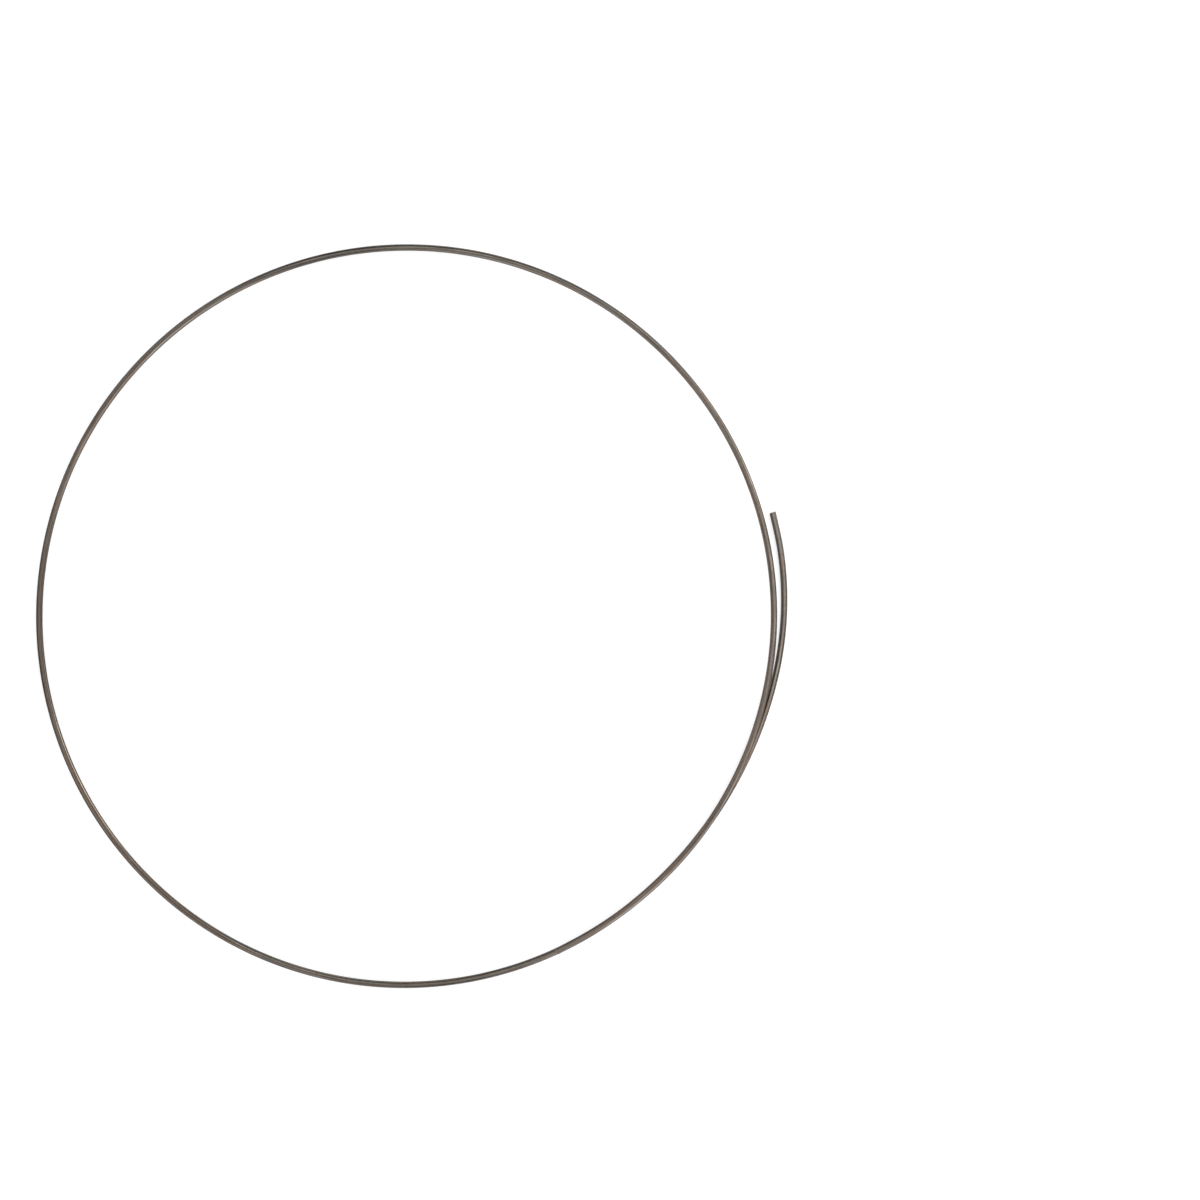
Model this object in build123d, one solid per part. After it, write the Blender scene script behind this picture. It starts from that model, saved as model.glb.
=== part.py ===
from build123d import *
import os
from math import asin, cos, radians, sin, tan

# Coil of memory wire for a necklace: one length of hard, drawn round wire.
#
# The wire was wound round a mandrel and cut off a little over one turn long. Being hard, it
# keeps that ring by itself. It lies on a level floor and is followed here from its free end,
# which stands out to the right, clockwise as seen from above. It lies flat on the floor for
# most of its first turn, then climbs by its own thickness, and its second turn laps over the
# first and ends on top of it.
#
# Sizes are in millimetres and degrees. +Z is up, and +Y is away from the viewer. The origin
# is on the floor, in the middle of the box that holds the ring.

# The wire
wire_diameter = 1.0
straight_end = 3.0  # the winding leaves this much straight at each cut, and an end bead fits on it
cut_slant = 6.0  # each cut is this far off square: the right-hand side, looking out, is longer
cut_rounding = 0.08  # the cutter rolls the rim of each cut over

# The way the free end points into the ring, counted from +X towards +Y
first_heading = -77.0

# Each bend on the floor: the radius of the wire's centreline, and how far it turns
tip_radius = 40.0  # nipped in as the end was cut
tip_turn = 5.0
leg_radius = 52.0
leg_turn = 21.0
spring_radius = 64.0  # sprung open, so that the free end stands clear of the ring
spring_turn = 39.0
front_radius = 56.15
front_turn = 83.0
side_radius = 57.35
side_turn = 85.0

# The climb: one bend that rises off the floor, and an equal one that levels out. They take up
# what is left of the first turn, so the wire is at its full height before it meets its start.
climb_radius = 56.8
turn_to_spare = 2.0

# The lap, level on top of the first turn. It eases a little towards its cut end
lap_radius = 56.7
lap_turn = 58.0
lap_end_radius = 59.8
lap_end_turn = 19.2
lap_gap = 0.05  # air between the two strands

FULL_TURN = 360.0
UP = Vector(0, 0, 1)

floor_turn = tip_turn + leg_turn + spring_turn + front_turn + side_turn
climb_turn = (FULL_TURN - floor_turn - turn_to_spare) / 2
lap_height = wire_diameter + lap_gap

# Each half of the climb lies in a plane that leans to one side of the wire's level heading.
# An arc in such a plane rises by radius * sin(lean) * (1 - cos(turn)).
half_climb_height = lap_height / 2
climb_lean = asin(half_climb_height / (climb_radius * (1 - cos(radians(climb_turn)))))


def straight_on(start, heading, length):
    """A straight stretch of the centreline."""
    return Line(start, start + heading * length)


def bend_right(before, radius, turn, normal=UP):
    """An arc that carries the centreline on from `before`, turning right about `normal`."""
    start = Plane(origin=before @ 1, x_dir=before % 1, z_dir=normal)
    return start * CenterArc((0, -radius), radius, start_angle=90, arc_size=-turn)


def inward(before):
    """The level direction from the end of `before` towards the inside of the ring."""
    return (before % 1).cross(UP).normalized()


def centreline():
    """The wire's route: along the floor, up over its own start, and level along the lap."""
    heading = Vector(cos(radians(first_heading)), sin(radians(first_heading)), 0)
    route = [straight_on(Vector(0, 0, 0), heading, straight_end)]

    floor_bends = [
        (tip_radius, tip_turn),
        (leg_radius, leg_turn),
        (spring_radius, spring_turn),
        (front_radius, front_turn),
        (side_radius, side_turn),
    ]
    for radius, turn in floor_bends:
        route.append(bend_right(route[-1], radius, turn))

    # Off the floor: the plane leans outward from upright, so that the arc rises
    rising = UP * cos(climb_lean) - inward(route[-1]) * sin(climb_lean)
    route.append(bend_right(route[-1], climb_radius, climb_turn, rising))

    # Levelling out: the same plane, mirrored across the wire where the two halves meet
    across = inward(route[-1])
    levelling = rising - across * (2 * rising.dot(across))
    route.append(bend_right(route[-1], climb_radius, climb_turn, levelling))

    route.append(bend_right(route[-1], lap_radius, lap_turn))
    route.append(bend_right(route[-1], lap_end_radius, lap_end_turn))
    route.append(straight_on(route[-1] @ 1, route[-1] % 1, straight_end))
    return Wire(route)


def cutter_jaw(end, outward):
    """What the cutter takes off a square end: a block whose near face is set at the slant.

    It reaches above and below the wire by half the air in the lap, so it clears the other strand.
    """
    corner_depth = wire_diameter / 2 * tan(radians(cut_slant))
    face = Plane(origin=end - outward * corner_depth, x_dir=outward.cross(UP), z_dir=outward)
    block = Box(
        2 * wire_diameter,
        wire_diameter + lap_gap,
        wire_diameter,
        align=(Align.CENTER, Align.CENTER, Align.MIN),
    )
    return face * Rot(0, -cut_slant, 0) * block


def memory_wire():
    """A round section carried along the centreline, cut at a slant, with the rims rolled over."""
    route = centreline()
    section = Plane(origin=route @ 0, z_dir=route % 0) * Circle(wire_diameter / 2)
    wire = sweep(section, path=route)
    wire -= [cutter_jaw(route @ 0, -(route % 0)), cutter_jaw(route @ 1, route % 1)]
    cut_rims = wire.faces().filter_by(GeomType.PLANE).edges()
    return fillet(cut_rims, cut_rounding)


def set_on_floor(shape):
    """The shape moved onto the floor, with the middle of its box above the origin."""
    box = shape.bounding_box()
    return Pos(-box.center().X, -box.center().Y, -box.min.Z) * shape


wire = set_on_floor(memory_wire())

os.makedirs("parts", exist_ok=True)
export_step(wire, "parts/wire.step")

size = wire.bounding_box().size
print(f"centreline {centreline().length:.1f} mm, climb 2 x {climb_turn:.1f} degrees")
print(f"box {size.X:.2f} x {size.Y:.2f} x {size.Z:.2f} mm, volume {wire.volume:.1f} mm3")
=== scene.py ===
# %% [markdown]
# # Coil of memory wire
#
# Memory wire is hard spring wire that is sold wound into rings. A necklace is made from one length, a
# little over one turn long, with a bead glued on each cut end. This notebook dresses such a length.
# The CAD model is loaded here as a fixed frame: it says where everything is, in metres, with +Z up and
# the floor at zero. Its box is kept, and the dressed wire is placed by it.

# %% Load the frame
import math

import bpy
import numpy as np
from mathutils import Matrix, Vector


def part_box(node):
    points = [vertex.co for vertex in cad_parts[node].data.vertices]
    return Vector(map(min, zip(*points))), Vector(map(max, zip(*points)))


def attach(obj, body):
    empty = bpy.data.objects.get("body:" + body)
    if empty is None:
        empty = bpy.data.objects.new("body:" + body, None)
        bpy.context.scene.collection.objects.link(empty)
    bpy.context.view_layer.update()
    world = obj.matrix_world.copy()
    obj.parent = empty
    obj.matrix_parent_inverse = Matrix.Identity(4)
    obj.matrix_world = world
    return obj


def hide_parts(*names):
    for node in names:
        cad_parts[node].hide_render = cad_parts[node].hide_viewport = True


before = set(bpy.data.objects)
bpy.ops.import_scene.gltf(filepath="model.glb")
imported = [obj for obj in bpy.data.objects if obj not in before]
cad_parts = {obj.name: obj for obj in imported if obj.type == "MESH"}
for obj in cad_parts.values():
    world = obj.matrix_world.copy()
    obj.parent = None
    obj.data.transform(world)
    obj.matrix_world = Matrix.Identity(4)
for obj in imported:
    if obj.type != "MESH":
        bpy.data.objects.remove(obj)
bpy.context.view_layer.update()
wire_low, wire_high = (np.array(corner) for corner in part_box("wire"))
print("CAD nodes:", sorted(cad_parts))
print("CAD box in mm:", np.round((wire_high - wire_low) * 1000, 3))

# %% [markdown]
# ## The sizes
#
# The wire is known by a few numbers: how thick it is, how each stretch of it bends, and how it was
# cut. They are the same ones that the CAD part is drawn from, so the dressed wire lies just where the
# plain one does. The ring isn't one circle. It was nipped in where it was cut off, it has sprung open
# beside that, and it runs in gentler bends the rest of the way round.

# %% The wire's sizes
MM = 0.001
UP = np.array([0.0, 0.0, 1.0])

wire_radius = 0.5 * MM
skin_radius = 0.498 * MM  # a hair thinner than the part, so that no facet stands out of its box
straight_end = 3.0 * MM
cut_slant = math.radians(6.0)
cut_rounding = 0.08 * MM
first_heading = math.radians(-77.0)

# Radius in mm and turn in degrees of each bend that lies on the floor, and of those along the lap
floor_bends = [(40.0, 5.0), (52.0, 21.0), (64.0, 39.0), (56.15, 83.0), (57.35, 85.0)]
climb_radius = 56.8 * MM
turn_to_spare = 2.0
lap_bends = [(56.7, 58.0), (59.8, 19.2)]
lap_gap = 0.05 * MM

climb_turn = math.radians((360.0 - sum(turn for _, turn in floor_bends) - turn_to_spare) / 2)
half_climb = (2 * wire_radius + lap_gap) / 2
climb_lean = math.asin(half_climb / (climb_radius * (1 - math.cos(climb_turn))))
print(f"the climb takes 2 x {math.degrees(climb_turn):.1f} degrees")
print(f"and leans {math.degrees(climb_lean):.2f} degrees")

# %% [markdown]
# ## The route
#
# A curve object with a bevel is the usual way to make a wire in Blender. It only comes near to an arc,
# though, and it gives little say over the ends and the map. This wire is a chain of true arcs, so
# each arc is kept as a few numbers, and any point along the chain is then worked out from them. A
# straight stretch is a bend of a kilometre's radius, which saves a second formula.

# %% Follow the bends one after another
def bend_on(chain, radius, turn, normal=UP):
    """Add a bend to the chain, turning right about `normal` from where the last one ended.

    The centre lies `radius` to the side, which is heading x normal. After an angle a the place is
    start + side * radius * (1 - cos a) + heading * radius * sin a, and the new heading is
    heading * cos a + side * sin a.
    """
    start, heading = chain[-1]["end"], chain[-1]["end_heading"]
    side = np.cross(heading, normal)
    end = start + side * radius * (1 - math.cos(turn)) + heading * radius * math.sin(turn)
    end_heading = heading * math.cos(turn) + side * math.sin(turn)
    chain.append(dict(start=start, heading=heading, side=side, radius=radius,
                      length=radius * turn, end=end, end_heading=end_heading))
    return end_heading


def straight_on(chain, length, kilometre=1000.0):
    """Add a straight stretch, as a bend of a kilometre's radius."""
    return bend_on(chain, kilometre, length / kilometre)


trial = [dict(end=np.zeros(3), end_heading=np.array([1.0, 0.0, 0.0]))]
bend_on(trial, 10.0, math.pi / 2)
print("a quarter turn of radius 10, heading +X from the origin, ends at", trial[-1]["end"].round(3))

# %% From the free end to the end of the lap
first_way = np.array([math.cos(first_heading), math.sin(first_heading), 0.0])
route = [dict(end=np.zeros(3), end_heading=first_way)]
heading = straight_on(route, straight_end)
for radius, turn in floor_bends:
    heading = bend_on(route, radius * MM, math.radians(turn))

# Off the floor: the bend's plane leans outward. Then the same plane, mirrored across the wire
rising = UP * math.cos(climb_lean) - np.cross(heading, UP) * math.sin(climb_lean)
heading = bend_on(route, climb_radius, climb_turn, rising)
across = np.cross(heading, UP) / np.linalg.norm(np.cross(heading, UP))
levelling = rising - across * 2 * rising.dot(across)
heading = bend_on(route, climb_radius, climb_turn, levelling)

for radius, turn in lap_bends:
    bend_on(route, radius * MM, math.radians(turn))
straight_on(route, straight_end)
route = route[1:]

bend_lengths = np.array([bend["length"] for bend in route])
wire_length = bend_lengths.sum()
print(f"{len(route)} stretches, {wire_length / MM:.1f} mm of wire")


# %% Places along the route
def along_route(distance):
    """Place and heading of the centreline at each distance from the free end, as whole arrays.

    Each distance is looked up among the bends, and that bend's own arc formula gives the rest.
    """
    bend_starts = np.concatenate([[0.0], np.cumsum(bend_lengths)[:-1]])
    which = np.clip(np.searchsorted(bend_starts, distance, side="right") - 1, 0, len(route) - 1)
    start, heading, side = (np.array([bend[key] for bend in route])[which]
                            for key in ("start", "heading", "side"))
    radius = np.array([bend["radius"] for bend in route])[which][:, None]
    angle = (distance - bend_starts[which])[:, None] / radius
    place = start + side * radius * (1 - np.cos(angle)) + heading * radius * np.sin(angle)
    return place, heading * np.cos(angle) + side * np.sin(angle)


both_ends, _ = along_route(np.array([0.0, wire_length]))
print("from the free end to the lap's end, in mm:", np.round((both_ends[1] - both_ends[0]) / MM, 2))

# %% [markdown]
# ## The cut ends
#
# Hard wire isn't sawn, it is nipped. The jaws roll the rim over a little, slide through a bit more
# than half of the wire and leave it smooth with fine scratches, and then the rest snaps off and stays
# rough and a little deeper. A cut like that could be sculpted, or made by displacing a flat disc.
# Here its depth is a formula of the place on the face, so it can be tuned by its numbers.

# %% The shape of a cut face
deepest_pit = 0.045  # mm
relief_fades = (0.70, 0.84)  # from the middle, in wire radii: the rolled rim begins at 0.84


def smooth_step(x, low, high):
    """0 below low, 1 above high, and a smooth S between them: 3t^2 - 2t^3."""
    t = np.clip((x - low) / (high - low), 0, 1)
    return t * t * (3 - 2 * t)


def cut_shape(x, y, seed):
    """Depth of the cut face at (x, y), and how far it is snapped.

    x and y are in wire radii, with x towards the jaw, and the depth comes out in metres.
    The sheared part is a shallow trough with fine lines along x. Past the line where the wire
    snapped, which wavers a little, the face drops and turns lumpy: a sum of sine waves at random
    angles and phases. No depth is under zero, so the face never stands above the plane of the cut.
    """
    rng = np.random.default_rng(seed)
    lumps = np.zeros_like(x)
    for waves in (3.0, 4.6, 7.4, 11.0, 17.0):
        angle, phase = rng.uniform(0, 2 * np.pi, 2)
        lumps += np.sin(waves * (x * np.cos(angle) + y * np.sin(angle)) + phase) / waves ** 0.6
    snap_line = -0.15 + 0.06 * np.sin(5.0 * y + rng.uniform(0, 6)) + 0.03 * np.sin(13.0 * y)
    snapped = 1 - smooth_step(x, snap_line - 0.10, snap_line + 0.02)
    sheared_depth = 0.004 + 0.006 * (1 - y ** 2) + 0.0012 * np.sin(38.0 * y + 3 * np.sin(2.0 * x))
    snapped_depth = 0.022 + 0.010 * lumps
    depth = sheared_depth * (1 - snapped) + snapped_depth * snapped
    return MM * np.clip(depth, 0, deepest_pit), snapped


trial_depth, _ = cut_shape(*np.meshgrid(np.linspace(-0.7, 0.7, 50), np.linspace(-0.7, 0.7, 50)), 4)
print(f"a cut face is {trial_depth.min() / MM:.3f} to {trial_depth.max() / MM:.3f} mm deep")


# %% [markdown]
# ## The straight wire
#
# The wire is made the way the factory makes it: straight first, and wound afterwards. Pulled straight,
# it is one closed grid, like a sausage skin: from the middle of one cut face out to its rim, along
# the wire, and in again to the middle of the other. The rolled rims are quarter circles and need
# rings close together, and the long side needs enough of them to look round from any side.

# %% Rings of the grid
AROUND = 48
RIM_RINGS, FACE_RINGS = 8, 12
STRIPS, STRIP_RINGS, LAST_STRIP_RINGS = 12, 134, 114
side_steps = STRIP_RINGS * (STRIPS - 1) + LAST_STRIP_RINGS

# One end, from the middle of its face outwards: the rings' radii, and how far behind the cut they lie
face_radii = np.linspace(0, 1, FACE_RINGS + 1)[1:] * (skin_radius - cut_rounding)
roll = np.linspace(0, np.pi / 2, RIM_RINGS + 1)[1:-1]
end_radii = np.concatenate([face_radii, skin_radius - cut_rounding * (1 - np.sin(roll))])
end_depths = np.concatenate([0 * face_radii, cut_rounding * (1 - np.cos(roll))])

# The slanted plane crosses the middle of the wire this far inside the longest corner
corner_depth = skin_radius * math.tan(cut_slant)
side_start = corner_depth + cut_rounding
side_distances = np.linspace(side_start, wire_length - side_start, side_steps + 1)

ring_radii = np.concatenate([end_radii, np.full(side_steps + 1, skin_radius), end_radii[::-1]])
ring_distances = np.concatenate([corner_depth + end_depths, side_distances,
                                 (wire_length - corner_depth - end_depths)[::-1]])
END_BANDS = len(end_radii)
print(f"{len(ring_radii)} rings of {AROUND} points")


# %% The wire pulled straight
def straight_wire():
    """(distance, across, up) of every point of the grid on the straight wire, in metres.

    A ring of radius r has its points at across = r * cos a and up = r * sin a, with a from the
    underside, where the seam doesn't show. In the end rings the distance also gets the slant, which
    is tan(slant) * across, and the depth of the cut face, which fades out before the rolled rim.
    The first and the last point are the middles of the two cut faces.
    """
    a = -np.pi / 2 + 2 * np.pi * np.arange(AROUND) / AROUND
    across, up = ring_radii[:, None] * np.cos(a), ring_radii[:, None] * np.sin(a)
    distance = np.repeat(ring_distances[:, None], AROUND, axis=1)
    points = np.stack([distance, across, up], axis=-1).reshape(-1, 3)
    middles = np.array([[corner_depth, 0, 0], [wire_length - corner_depth, 0, 0]])
    points = np.concatenate([middles[:1], points, middles[1:]])

    snapped = np.zeros(len(points))
    count = 1 + AROUND * (END_BANDS + 1)
    free_end, lap_end = slice(0, count), slice(-count, None)
    for end, inward, seed in ((free_end, 1, 4), (lap_end, -1, 9)):
        x, y = points[end, 1] / skin_radius, points[end, 2] / skin_radius
        depth, snapped[end] = cut_shape(-inward * x, y, seed)
        depth *= 1 - smooth_step(np.hypot(x, y), *relief_fades)
        points[end, 0] += math.tan(cut_slant) * points[end, 1] + inward * depth
    return points, snapped


straight, snapped = straight_wire()
reach = straight[:, 0].min() / MM, straight[:, 0].max() / MM
print(f"{len(straight)} points, from {reach[0]:.3f} to {reach[1]:.3f} mm")

# %% [markdown]
# ## Winding it
#
# To wind the wire, each point keeps its place across the section, and the section is carried along
# the route. The section stays upright: its sideways direction is level and points into the ring.
# That keeps the wire from twisting where it climbs over its own start. Then the whole
# ring is moved so that its box stands where the CAD part's box stands.

# %% Wind the straight wire into the ring
def wound(points):
    """centreline(distance) + right * across + upright * up.

    right is heading x UP, made one long, and upright is right x heading.
    """
    centre, heading = along_route(points[:, 0])
    right = np.cross(heading, UP)
    right /= np.linalg.norm(right, axis=1)[:, None]
    upright = np.cross(right, heading)
    return centre + right * points[:, 1:2] + upright * points[:, 2:3]


ring = wound(straight)
low, high = ring.min(axis=0), ring.max(axis=0)
shift = (wire_low + wire_high) / 2 - (low + high) / 2
shift[2] = -low[2]
ring += shift
print("ring box in mm:", np.round((high - low) / MM, 3), "moved by", np.round(shift / MM, 3))

# %% [markdown]
# ## The faces and the map
#
# Bands of four-sided faces join each ring to the next, and a fan of triangles closes each cut face.
# The map is cut for baking. Blender's own unwrapping would leave a ring of thin wire as one
# huge hoop with an empty middle. So the skin is cut into twelve strips that lie one above
# the other, and the last strip is shorter, which leaves room for the two cut faces as round discs.

# %% Faces of the grid
def band_faces():
    """Corners of the bands, with j going round.

    A face has (ring, j), (ring + 1, j), (ring + 1, j + 1) and (ring, j + 1).
    """
    ring_number, j = np.meshgrid(np.arange(len(ring_radii) - 1), np.arange(AROUND), indexing="ij")
    here, further = 1 + ring_number * AROUND, 1 + (ring_number + 1) * AROUND
    after = (j + 1) % AROUND
    return np.stack([here + j, further + j, further + after, here + after], axis=-1).reshape(-1, 4)


def fan_faces():
    """The two fans: a middle with two neighbours of the ring next to it, facing out of the wire."""
    j = np.arange(AROUND)
    after = (j + 1) % AROUND
    last_ring = 1 + (len(ring_radii) - 1) * AROUND
    last_point = 1 + len(ring_radii) * AROUND
    start = np.stack([np.zeros_like(j), 1 + j, 1 + after], axis=-1)
    end = np.stack([np.full_like(j, last_point), last_ring + after, last_ring + j], axis=-1)
    return start, end


bands = band_faces()
start_fan, end_fan = fan_faces()
print(f"{len(bands)} four-sided faces and {2 * AROUND} triangles")


# %% The map of the skin
STRIP_EDGE, STRIP_GAP = 0.008, 0.04  # left free at a strip's two ends, and above and below it
DISC_SHARE = 0.84  # a disc's width, as a share of a strip's height
START_DISC_U, END_DISC_U = 0.8855, 0.9595


def strip_map():
    """Each band of the side goes to strip number band // STRIP_RINGS.

    Its place in the strip gives u, and its angle round the wire gives v.
    """
    band, j = np.meshgrid(np.arange(side_steps), np.arange(AROUND), indexing="ij")
    strip = np.minimum(band // STRIP_RINGS, STRIPS - 1)
    ring_in_strip = np.stack([band, band + 1, band + 1, band], axis=-1) - strip[..., None] * STRIP_RINGS
    u = STRIP_EDGE + (1 - 2 * STRIP_EDGE) * ring_in_strip / STRIP_RINGS
    v = STRIP_GAP + (1 - 2 * STRIP_GAP) * np.stack([j, j, j + 1, j + 1], axis=-1) / AROUND
    return np.stack([u, (strip[..., None] + v) / STRIPS], axis=-1).reshape(-1, 2)


def disc_map(middle_u, mirrored):
    """A cut face with its rolled rim, spread flat.

    Each ring keeps its angle, and lies as far out as the way over the surface from the middle.
    """
    over_the_rim = skin_radius - cut_rounding * (1 - np.append(roll, np.pi / 2))
    flat = np.concatenate([[0.0], face_radii, over_the_rim])
    flat *= DISC_SHARE / (2 * STRIPS) / flat[-1]
    a = -np.pi / 2 + 2 * np.pi * np.arange(AROUND + 1) / AROUND
    side = -1 if mirrored else 1
    u = middle_u + side * flat[:, None] * np.cos(a)
    v = (STRIPS - 0.5) / STRIPS + flat[:, None] * np.sin(a)
    return np.stack([u, v], axis=-1)


print(f"{STRIPS} strips, each {1 / STRIPS:.3f} of the map high")


# %% Put the map's pieces in the order of the faces
def corner_places(disc, from_middle):
    """The corners of an end's bands and of its fan on the disc, in the order that the faces have them."""
    ring_number, j = np.meshgrid(np.arange(1, END_BANDS + 1), np.arange(AROUND), indexing="ij")
    near, far = disc[ring_number, j], disc[ring_number + 1, j]
    near_after, far_after = disc[ring_number, j + 1], disc[ring_number + 1, j + 1]
    j = np.arange(AROUND)
    middle, one, other = disc[0, j], disc[1, j], disc[1, j + 1]
    if from_middle:
        quads = np.stack([near, far, far_after, near_after], axis=-2)
        fan = np.stack([middle, one, other], axis=-2)
    else:
        quads = np.stack([far, near, near_after, far_after], axis=-2)[::-1]
        fan = np.stack([middle, other, one], axis=-2)
    return quads.reshape(-1, 2), fan.reshape(-1, 2)


start_disc, start_fan_map = corner_places(disc_map(START_DISC_U, mirrored=True), from_middle=True)
end_disc, end_fan_map = corner_places(disc_map(END_DISC_U, mirrored=False), from_middle=False)
corner_map = np.concatenate([start_disc, strip_map(), end_disc, start_fan_map, end_fan_map])
print("map spans", corner_map.min(axis=0).round(3), "to", corner_map.max(axis=0).round(3))

# %% [markdown]
# ## The mesh
#
# The arrays go into the mesh in one go each. Three more things are kept on its points for the
# materials: the place on the straight wire, in millimetres, how far the nearest cut is, and where a
# cut face is snapped. A pattern that reads the first one runs along the wire all the way round, with
# no seam, because it is a pattern in the space of the straight wire.

# %% Make the wire's mesh
def mesh_of_wire():
    """One mesh from the points, the faces and the map, with the attributes that its materials read."""
    corners = np.concatenate([bands.ravel(), start_fan.ravel(), end_fan.ravel()])
    sizes = np.concatenate([np.full(len(bands), 4), np.full(2 * AROUND, 3)])
    mesh = bpy.data.meshes.new("memory_wire")
    mesh.vertices.add(len(ring))
    mesh.vertices.foreach_set("co", ring.astype(np.float32).ravel())
    mesh.loops.add(len(corners))
    mesh.loops.foreach_set("vertex_index", corners.astype(np.int32))
    mesh.polygons.add(len(sizes))
    first_corners = np.concatenate([[0], np.cumsum(sizes)[:-1]])
    mesh.polygons.foreach_set("loop_start", first_corners.astype(np.int32))
    mesh.polygons.foreach_set("use_smooth", np.ones(len(sizes), bool))

    # Slot 1 is the cut face: its bands come first and last among the bands, and its fans last of all
    face_bands = (FACE_RINGS - 1) * AROUND
    cut = np.zeros(len(sizes), np.int32)
    cut[:face_bands] = cut[len(bands) - face_bands:] = 1
    mesh.polygons.foreach_set("material_index", cut)
    mesh.update(calc_edges=True)

    mesh.uv_layers.new(name="OFBake").uv.foreach_set("vector", corner_map.astype(np.float32).ravel())
    place = mesh.attributes.new("pulled_straight", "FLOAT_VECTOR", "POINT")
    place.data.foreach_set("vector", (straight / MM).astype(np.float32).ravel())
    from_cut = np.minimum(straight[:, 0], wire_length - straight[:, 0]) / MM
    for name, values in (("from_cut", from_cut), ("snapped", snapped)):
        mesh.attributes.new(name, "FLOAT", "POINT").data.foreach_set("value", values.astype(np.float32))
    mesh.validate()
    return mesh


memory_wire = bpy.data.objects.new("memory_wire", mesh_of_wire())
bpy.context.scene.collection.objects.link(memory_wire)
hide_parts("wire")
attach(memory_wire, "root")
print(f"memory_wire: {len(memory_wire.data.polygons)} faces, {len(bands) * 2 + 2 * AROUND} triangles")

# %% [markdown]
# ## Helpers for materials
#
# A material is a tree of nodes. Made by hand, each node takes several lines of code. These helpers
# keep it to one line. The first adds a node and sets or links its inputs. The second is the S-shaped
# step that blends one thing into another. The third opens a node group, which is an effect with named
# inputs and outputs that several materials can use.

# %% Add a node, step smoothly, open a group
def add(tree, kind, inputs=None, **settings):
    """A new node with its settings. An input gets a plain value, or a link where the value is a socket."""
    node = tree.nodes.new(kind)
    for name, value in settings.items():
        setattr(node, name, value)
    for name, value in (inputs or {}).items():
        if isinstance(value, bpy.types.NodeSocket):
            tree.links.new(value, node.inputs[name])
        else:
            node.inputs[name].default_value = value
    return node


def smooth_between(tree, value, start, end):
    """0 where the value is at start, 1 at end, and smooth between: smooth_step again, as a node."""
    return add(tree, "ShaderNodeMapRange", {"Value": value, "From Min": start, "From Max": end},
               interpolation_type="SMOOTHSTEP").outputs[0]


def open_group(title, takes, gives):
    """A node group with these inputs, each with a kind and a usual value, and these outputs."""
    group = bpy.data.node_groups.new(title, "ShaderNodeTree")
    for name, (kind, usual) in takes.items():
        socket = group.interface.new_socket(name, in_out="INPUT", socket_type="NodeSocket" + kind)
        if usual is not None:
            socket.default_value = usual
    for name, kind in gives.items():
        group.interface.new_socket(name, in_out="OUTPUT", socket_type="NodeSocket" + kind)
    return group, group.nodes.new("NodeGroupInput").outputs, group.nodes.new("NodeGroupOutput")


print("helpers: add, smooth_between and open_group")

# %% [markdown]
# ## Streaks
#
# Wire is pulled through a ring-shaped die, and every speck on the die draws a line along it. A cutter's
# jaw draws lines over the cut face in the same way. Both are noise that has been stretched one way. The
# group divides the place by a length along the streaks and a width across them, so both are real
# sizes in millimetres, and the contrast is stretched so that light and dark streaks both come up.

# %% The streaks group
streaks, given, out = open_group(
    "Streaks",
    {"Place": ("Vector", None), "Width": ("Float", 0.2), "Length": ("Float", 5.0), "Seed": ("Float", 0.0),
     "Detail": ("Float", 2.0)},
    {"Streaks": "Float"},
)
cell = add(streaks, "ShaderNodeCombineXYZ",
           {"X": given["Length"], "Y": given["Width"], "Z": given["Width"]}).outputs[0]
stretched = add(streaks, "ShaderNodeVectorMath", {0: given["Place"], 1: cell},
                operation="DIVIDE").outputs[0]
noise = add(streaks, "ShaderNodeTexNoise",
            {"Vector": stretched, "W": given["Seed"], "Scale": 1.0, "Detail": given["Detail"],
             "Roughness": 0.55}, noise_dimensions="4D").outputs[0]
streaks.links.new(smooth_between(streaks, noise, 0.32, 0.68), out.inputs["Streaks"])
print("group Streaks:", [socket.name for socket in given if socket.name])

# %% [markdown]
# ## Grain
#
# Close up, neither skin nor cut face is clean. Soap from the drawing and a thin brown oxide sit on the
# skin in specks, and the snapped part of a cut glitters with torn grains. A picture of specks would
# blur this close, so the group is noise, with finer and finer specks laid over the coarse ones.

# %% The grain group
grain, given, out = open_group(
    "Grain",
    {"Place": ("Vector", None), "Size": ("Float", 0.1), "Seed": ("Float", 0.0)},
    {"Grain": "Float"},
)
per_mm = add(grain, "ShaderNodeMath", {0: 1.0, 1: given["Size"]}, operation="DIVIDE").outputs[0]
sized = add(grain, "ShaderNodeVectorMath", {0: given["Place"], "Scale": per_mm},
            operation="SCALE").outputs[0]
noise = add(grain, "ShaderNodeTexNoise",
            {"Vector": sized, "W": given["Seed"], "Scale": 1.0, "Detail": 4.0, "Roughness": 0.7},
            noise_dimensions="4D").outputs[0]
grain.links.new(smooth_between(grain, noise, 0.3, 0.7), out.inputs["Grain"])
print("group Grain:", [socket.name for socket in given if socket.name])

# %% [markdown]
# ## What the materials share
#
# The wire has two materials, one for its drawn skin and one for its cut faces. Both are put together in
# the same few ways, which these helpers write once: a group's pattern, a weighted sum of patterns, a
# colour read off a ramp, and a mix or a product of two colours.

# %% Open a material, and use a group, a sum, a ramp and a blend in it
groove_depth = 0.004 * MM  # how deep the marks look, on the skin and on the cut faces


def new_material(title):
    """A material with nothing in its node tree, and that tree."""
    material = bpy.data.materials.new(title)
    material.use_nodes = True
    material.node_tree.nodes.clear()
    return material, material.node_tree


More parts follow.
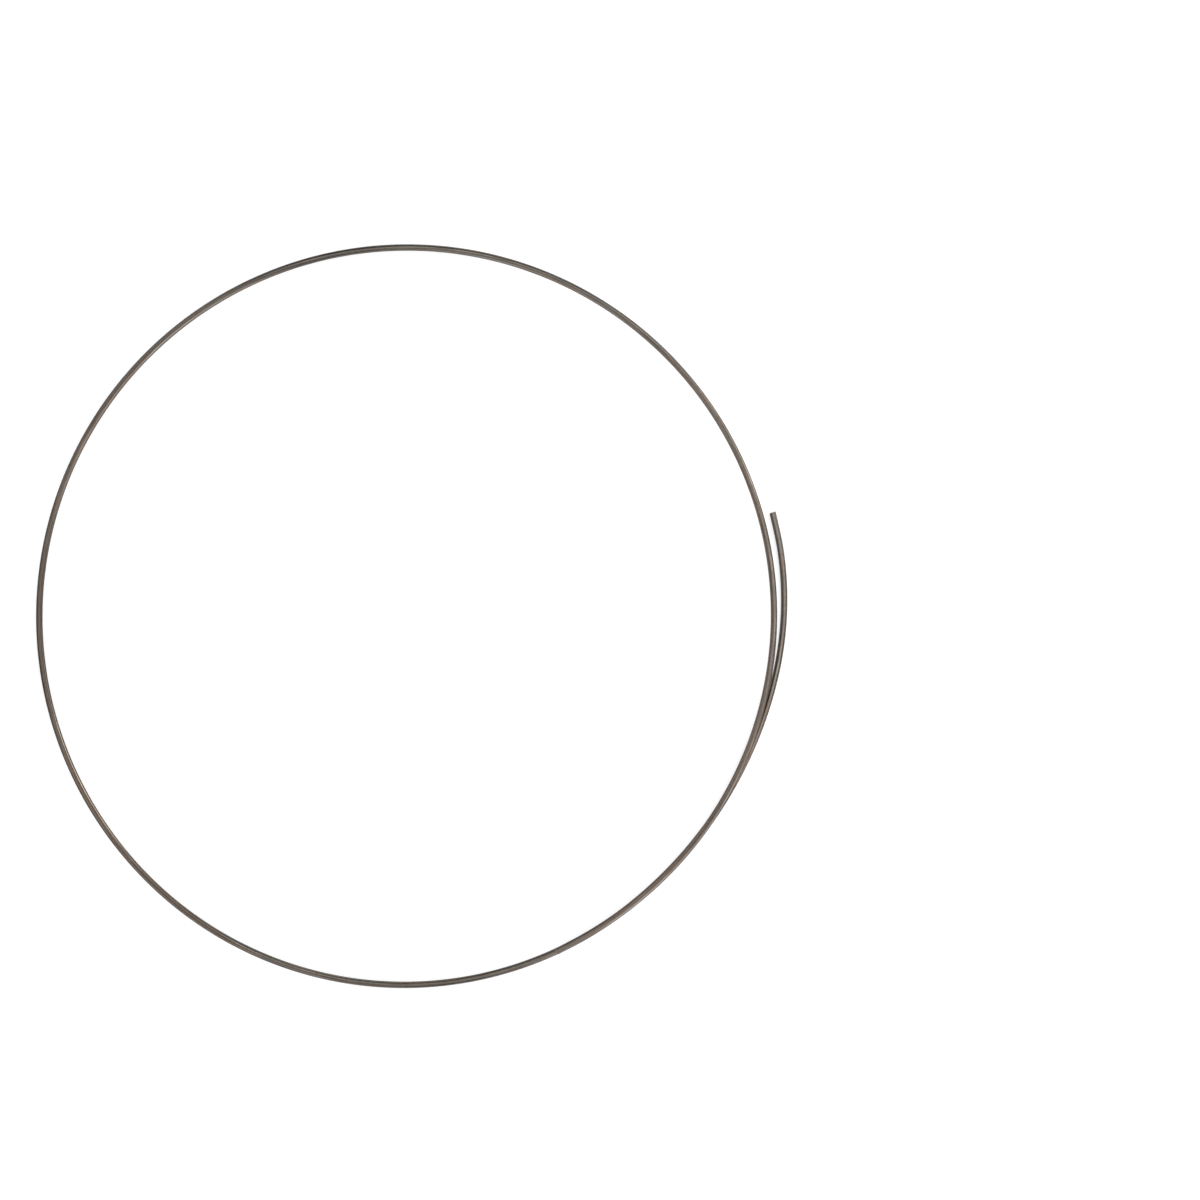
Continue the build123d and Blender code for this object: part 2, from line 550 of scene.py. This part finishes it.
def use(tree, group, inputs):
    """The group as a node in this tree, with its inputs set, and its one output."""
    return add(tree, "ShaderNodeGroup", inputs, node_tree=group).outputs[0]


def weigh(tree, start, parts):
    """A start value plus a weighted sum: each part is a socket and its weight."""
    total = start
    for value, weight in parts:
        total = add(tree, "ShaderNodeMath", {0: value, 1: weight, 2: total},
                    operation="MULTIPLY_ADD").outputs[0]
    return total


def colours_by(tree, value, stops):
    """A colour ramp read at a value, with its stops given as (place, (red, green, blue))."""
    ramp = add(tree, "ShaderNodeValToRGB", {"Fac": value})
    elements = ramp.color_ramp.elements
    while len(elements) < len(stops):
        elements.new(0.5)
    for element, (position, rgb) in zip(elements, stops):
        element.position, element.color = position, (*rgb, 1.0)
    return ramp.outputs["Color"]


def blend(tree, how_much, one, other, kind="MIX"):
    """A mix of two colours, or their product where the kind is MULTIPLY."""
    return add(tree, "ShaderNodeMix", {0: how_much, 6: one, 7: other}, data_type="RGBA",
               blend_type=kind).outputs[2]


print("helpers: new_material, use, weigh, colours_by and blend")

# %% [markdown]
# ## The drawn skin
#
# The skin of this wire is steel that is still as it came from the die: a warm dark grey, neither
# polished nor painted. Its thin film of soap and oxide isn't metal, and it scatters a little light, so
# Metallic stays under 1, and a dark Specular Tint keeps it from turning into a mirror at the edges.
# Faint light and dark streaks run along it, from half a centimetre to several centimetres long, and
# from a tenth to a quarter of a millimetre wide. The same streaks set the colour, the gloss and the
# height, because on the real wire they are one thing: a groove holds soap and oxide, so it is darker
# and duller, and the ridge beside it is rubbed bright. The film's thickness is uneven, so some streaks
# are redder or bluer than others. Painted shade and light also run along the wire: its colour is darker
# along the ring's left side, where less light falls, and a little lighter in a few other stretches. At
# the cuts the rolled rim is rubbed bare, and the jaws have scuffed the skin behind it.

# %% The drawn skin's material
skin, tree = new_material("drawn_steel_skin")
place = add(tree, "ShaderNodeAttribute", attribute_name="pulled_straight").outputs["Vector"]
long_bands, draw_marks, fine_lines, film = (
    use(tree, streaks, {"Place": place, "Width": width, "Length": length, "Seed": seed, "Detail": detail})
    for width, length, seed, detail in ((0.26, 60.0, 1.0, 1.0), (0.14, 14.0, 2.0, 1.5),
                                        (0.07, 4.5, 3.0, 1.5), (0.16, 12.0, 11.0, 1.5)))
specks = use(tree, grain, {"Place": place, "Size": 0.35, "Seed": 4.0})

tone = weigh(tree, 0.0, [(long_bands, 0.42), (draw_marks, 0.34), (fine_lines, 0.38), (specks, 0.18)])
colour = colours_by(tree, tone, [(0.38, (0.111, 0.089, 0.074)), (0.66, (0.176, 0.146, 0.125)),
                                 (0.94, (0.265, 0.224, 0.194))])
film_tint = colours_by(tree, film, [(0.15, (0.88, 0.98, 1.02)), (0.50, (0.95, 0.96, 0.95)),
                                    (0.85, (1.02, 0.93, 0.88))])
colour = blend(tree, 1.0, colour, film_tint, "MULTIPLY")
print("node tree of the skin:", len(tree.nodes), "nodes so far")

# %% Painted shade and light along the ring, and the wear at the cuts
parts = add(tree, "ShaderNodeSeparateXYZ", {0: place}).outputs
along = add(tree, "ShaderNodeMath", {0: parts["X"], 1: wire_length / MM}, operation="DIVIDE").outputs[0]
# Painted shade and light: the colour is darker along the middle of the wire's length, which is the ring's
# left side, where less light falls, and a little lighter in a few other stretches.
painted_shade_and_light = colours_by(tree, along, [
    (0.00, (0.92, 0.90, 0.88)), (0.17, (0.86, 0.85, 0.83)), (0.24, (0.93, 0.96, 0.96)),
    (0.31, (0.74, 0.71, 0.69)), (0.36, (0.75, 0.70, 0.66)), (0.46, (0.63, 0.60, 0.56)),
    (0.53, (0.76, 0.75, 0.73)), (0.60, (0.87, 0.91, 0.92)), (0.70, (0.87, 0.90, 0.90)),
    (0.78, (0.86, 0.85, 0.83)), (0.89, (0.91, 0.89, 0.87)), (0.95, (0.77, 0.75, 0.73)),
    (1.00, (0.79, 0.77, 0.75)),
])
colour = blend(tree, 1.0, colour, painted_shade_and_light, "MULTIPLY")

scuffs_end, rim_worn_bare = 0.35, 0.02  # mm from the cut
from_cut = add(tree, "ShaderNodeAttribute", attribute_name="from_cut").outputs["Fac"]
at_the_cut = smooth_between(tree, from_cut, scuffs_end, rim_worn_bare)
scuffs = use(tree, grain, {"Place": place, "Size": 0.12, "Seed": 8.0})
worn = add(tree, "ShaderNodeMath", {0: at_the_cut, 1: scuffs}, operation="MULTIPLY").outputs[0]
colour = blend(tree, worn, colour, (0.20, 0.195, 0.195, 1.0))

roughness = weigh(tree, 0.23, [(draw_marks, -0.06), (fine_lines, -0.04), (specks, 0.06), (worn, 0.10)])
relief = weigh(tree, 0.0, [(long_bands, 0.35), (draw_marks, 0.40), (fine_lines, 0.25), (worn, 0.30)])
bump = add(tree, "ShaderNodeBump", {"Height": relief, "Strength": 1.0, "Distance": groove_depth})
steel = add(tree, "ShaderNodeBsdfPrincipled",
            {"Base Color": colour, "Roughness": roughness, "Metallic": 0.85,
             "Specular Tint": (0.08, 0.11, 0.15, 1.0), "Normal": bump.outputs[0]})
add(tree, "ShaderNodeOutputMaterial", {"Surface": steel.outputs[0]})
memory_wire.data.materials.append(skin)
print("material:", skin.name)

# %% [markdown]
# ## The cut face
#
# Under its brown skin the steel is bright. The jaw's half of the cut is smooth and has streaks the
# way the jaw slid. The snapped half is dull with bright specks. The two could be two materials, but
# one is enough: the mesh says where it is snapped, from the formula that also made the step.

# %% The cut face's material
cut_face, tree = new_material("sheared_steel_face")
place = add(tree, "ShaderNodeAttribute", attribute_name="pulled_straight").outputs["Vector"]
is_snapped = add(tree, "ShaderNodeAttribute", attribute_name="snapped").outputs["Fac"]
parts = add(tree, "ShaderNodeSeparateXYZ", {0: place}).outputs
over_the_face = add(tree, "ShaderNodeCombineXYZ",
                    {"X": parts["Y"], "Y": parts["Z"], "Z": parts["X"]}).outputs[0]

jaw_lines = use(tree, streaks,
                {"Place": over_the_face, "Width": 0.035, "Length": 0.9, "Seed": 5.0, "Detail": 2.0})
torn = use(tree, grain, {"Place": place, "Size": 0.06, "Seed": 6.0})
finish = add(tree, "ShaderNodeMix", {0: is_snapped, 2: jaw_lines, 3: torn}).outputs[0]
colour = colours_by(tree, finish, [(0.0, (0.20, 0.185, 0.170)), (1.0, (0.44, 0.42, 0.40))])
roughness = weigh(tree, 0.34, [(is_snapped, 0.16), (finish, -0.08)])
bump = add(tree, "ShaderNodeBump", {"Height": finish, "Strength": 1.0, "Distance": groove_depth})
steel = add(tree, "ShaderNodeBsdfPrincipled",
            {"Base Color": colour, "Roughness": roughness, "Metallic": 1.0, "Normal": bump.outputs[0]})
add(tree, "ShaderNodeOutputMaterial", {"Surface": steel.outputs[0]})
memory_wire.data.materials.append(cut_face)
print("material:", cut_face.name)

# %% [markdown]
# ## The table it lies on
#
# The wire lies on a plain white table. White paint alone would throw much light up at the wire. So the
# table's colour is grey, and it adds some light of its own that only the camera and reflections see.
# Together they come to white. That light falls on nothing, so the wire still casts its faint shadow.

# %% The floor
table_grey, own_brightness = 0.40, 0.68  # in this room the two add up to white


def flat_sheet(title, half_side, height):
    """A square sheet: four corners and one face, upwards."""
    mesh = bpy.data.meshes.new(title)
    corners = np.array([[-1, -1], [1, -1], [1, 1], [-1, 1]]) * half_side
    mesh.from_pydata(np.column_stack([corners, np.full(4, height)]).tolist(), [], [[0, 1, 2, 3]])
    sheet = bpy.data.objects.new(title, mesh)
    bpy.context.scene.collection.objects.link(sheet)
    return sheet


floor = flat_sheet("floor", 4.0, 0.0)
white, tree = new_material("white_table")
path = add(tree, "ShaderNodeLightPath").outputs
seen = path["Is Camera Ray"]
for kind in ("Is Glossy Ray", "Is Transmission Ray"):
    seen = add(tree, "ShaderNodeMath", {0: seen, 1: path[kind]},
               operation="ADD", use_clamp=True).outputs[0]
own_light = add(tree, "ShaderNodeMath", {0: seen, 1: own_brightness}, operation="MULTIPLY")
paint = add(tree, "ShaderNodeBsdfPrincipled",
            {"Base Color": (table_grey, table_grey, table_grey, 1.0), "Roughness": 0.9,
             "Specular IOR Level": 0.0, "Emission Color": (1.0, 1.0, 1.0, 1.0),
             "Emission Strength": own_light.outputs[0]})
add(tree, "ShaderNodeOutputMaterial", {"Surface": paint.outputs[0]})
floor.data.materials.append(white)
print("floor:", floor.name)

# %% [markdown]
# ## The light
#
# Metal is only seen by what it reflects, so the light is most of the look. A thin round wire turns the
# room into stripes along itself: its crown shows what is overhead, and its flanks show what stands
# low around it. This is the room that small bright things are photographed in: a pale ceiling, dim
# walls with a low white one before them, seven soft boxes round the table, with the brightest one low
# on the right, and two overhead. Between the boxes the flanks stay dark. A soft box could be an area
# lamp. Here all of them are drawn in the world, by the way that a ray goes, and so they light the whole
# table evenly.

# %% The room: a low white wall round the table, dim above it, and a pale ceiling
world = bpy.data.worlds.new("soft_room")
bpy.context.scene.world = world
world.use_nodes = True
tree = world.node_tree
tree.nodes.clear()
way = add(tree, "ShaderNodeTexCoord").outputs["Generated"]
how_high = add(tree, "ShaderNodeSeparateXYZ", {0: way}).outputs["Z"]
above_the_wall = smooth_between(tree, how_high, 0.11, 0.15)
overhead = smooth_between(tree, how_high, 0.57, 0.97)
light = blend(tree, overhead, (0.04, 0.05, 0.06, 1.0), (0.86, 0.93, 0.96, 1.0))
print("world:", world.name)


# %% The soft boxes
def soft_box(light, side, height, spread, brightness, colour):
    """The light plus one soft box, placed by its side from +X, its height and half its width, in degrees.

    How near a ray's way is to the box is their dot product, the cosine of the angle between them.
    The box is full inside 0.65 of its half width and gone past 1.35 of it.
    """
    side, height = math.radians(side), math.radians(height)
    middle = (math.cos(height) * math.cos(side), math.cos(height) * math.sin(side), math.sin(height))
    nearness = add(tree, "ShaderNodeVectorMath", {0: way, 1: middle},
                   operation="DOT_PRODUCT").outputs["Value"]
    gone, full = (math.cos(math.radians(spread * part)) for part in (1.35, 0.65))
    shape = smooth_between(tree, nearness, gone, full)
    shine = tuple(brightness * part for part in colour)
    return add(tree, "ShaderNodeVectorMath", {0: shine, 1: shape, 2: light},
               operation="MULTIPLY_ADD").outputs[0]


soft_boxes = [
    # side, height, half width, brightness, colour
    (27, 20, 11, 6.00, (1.0, 0.99, 0.92)),  # right
    (64, 54, 12, 2.35, (0.92, 1.0, 1.05)),  # back right
    (146, 33, 22, 1.48, (1.0, 0.90, 0.89)),  # back left
    (187, 36, 20, 0.60, (1.0, 0.90, 0.90)),  # left
    (236, 29, 25, 1.42, (1.0, 0.94, 0.92)),  # front left
    (316, 25, 22, 2.75, (1.0, 0.96, 0.95)),  # front right
    (300, 22, 14, 1.00, (1.0, 0.96, 0.94)),  # and its wing, nearer the front
    (90, 72, 15, 0.78, (1.0, 0.95, 0.91)),  # overhead, a little behind
    (345, 58, 12, 0.75, (1.0, 0.94, 0.95)),  # overhead, to the right
]
for box in soft_boxes:
    light = soft_box(light, *box)
light = blend(tree, above_the_wall, (1.0, 1.0, 1.0, 1.0), light)
backdrop = add(tree, "ShaderNodeBackground", {"Color": light, "Strength": 1.0})
add(tree, "ShaderNodeOutputWorld", {"Surface": backdrop.outputs[0]})
print(len(soft_boxes), "soft boxes,", len(tree.nodes), "nodes in the world")

# %% [markdown]
# ## Two lamps close by
#
# Light from afar is the same on both sides of the ring. The free end and the strand beside it have a
# wider pale stripe than the far side has, so two real lamps stand near the ring on the right.
# How bright an area lamp looks is its power over pi times its area, so its power is worked out from that.

# %% The lamps
def soft_lamp(title, across, place, lit_place, brightness, colour):
    """A round lamp of this diameter in mm, turned to the lit place and unseen by the camera.

    Its power is pi * its area * its brightness. A lamp shines down its own -Z, so it is tilted by the
    angle between +Z and the way from the lit place to the lamp.
    """
    lamp = bpy.data.lights.new(title, "AREA")
    lamp.shape, lamp.size, lamp.color = "DISK", across * MM, colour
    lamp.energy = math.pi * math.pi * (across * MM / 2) ** 2 * brightness
    holder = bpy.data.objects.new(title, lamp)
    bpy.context.scene.collection.objects.link(holder)
    holder.location = np.multiply(place, MM)
    away = np.subtract(place, lit_place) * MM
    tilt = math.acos(away[2] / np.linalg.norm(away))
    holder.rotation_euler = (tilt, 0.0, math.atan2(away[1], away[0]) + math.pi / 2)
    holder.visible_camera = False
    print(f"{title}: {lamp.energy:.3f} W")


soft_lamp("lamp_by_the_end", 75, (88, -4, 45), (57, 10, 0), 0.88, (0.95, 0.98, 1.0))
soft_lamp("lamp_behind_it", 200, (149, 88, 79), (40, 40, 0), 0.95, (0.96, 0.97, 1.0))

# %% [markdown]
# ## The camera
#
# The photograph looks straight down. A long lens from half a metre up shows the ring with next to no
# perspective. The picture is wider than the ring, which lies left of the picture's middle, so the
# camera stands over a point to the right of the ring's own middle.

# %% The camera
camera = bpy.data.cameras.new("camera")
camera.lens = 100.0
camera.sensor_width = 36.0
camera.clip_start, camera.clip_end = 0.01, 20.0
picture_width = 185.84 * MM
over = (29.16 * MM, 2.52 * MM)
height = picture_width * camera.lens / camera.sensor_width + wire_radius
looking_down = bpy.data.objects.new("camera", camera)
looking_down.location = (*over, height)
bpy.context.scene.collection.objects.link(looking_down)
bpy.context.scene.camera = looking_down
bpy.context.scene.view_settings.view_transform = "Standard"
print(f"camera {height / MM:.1f} mm up")
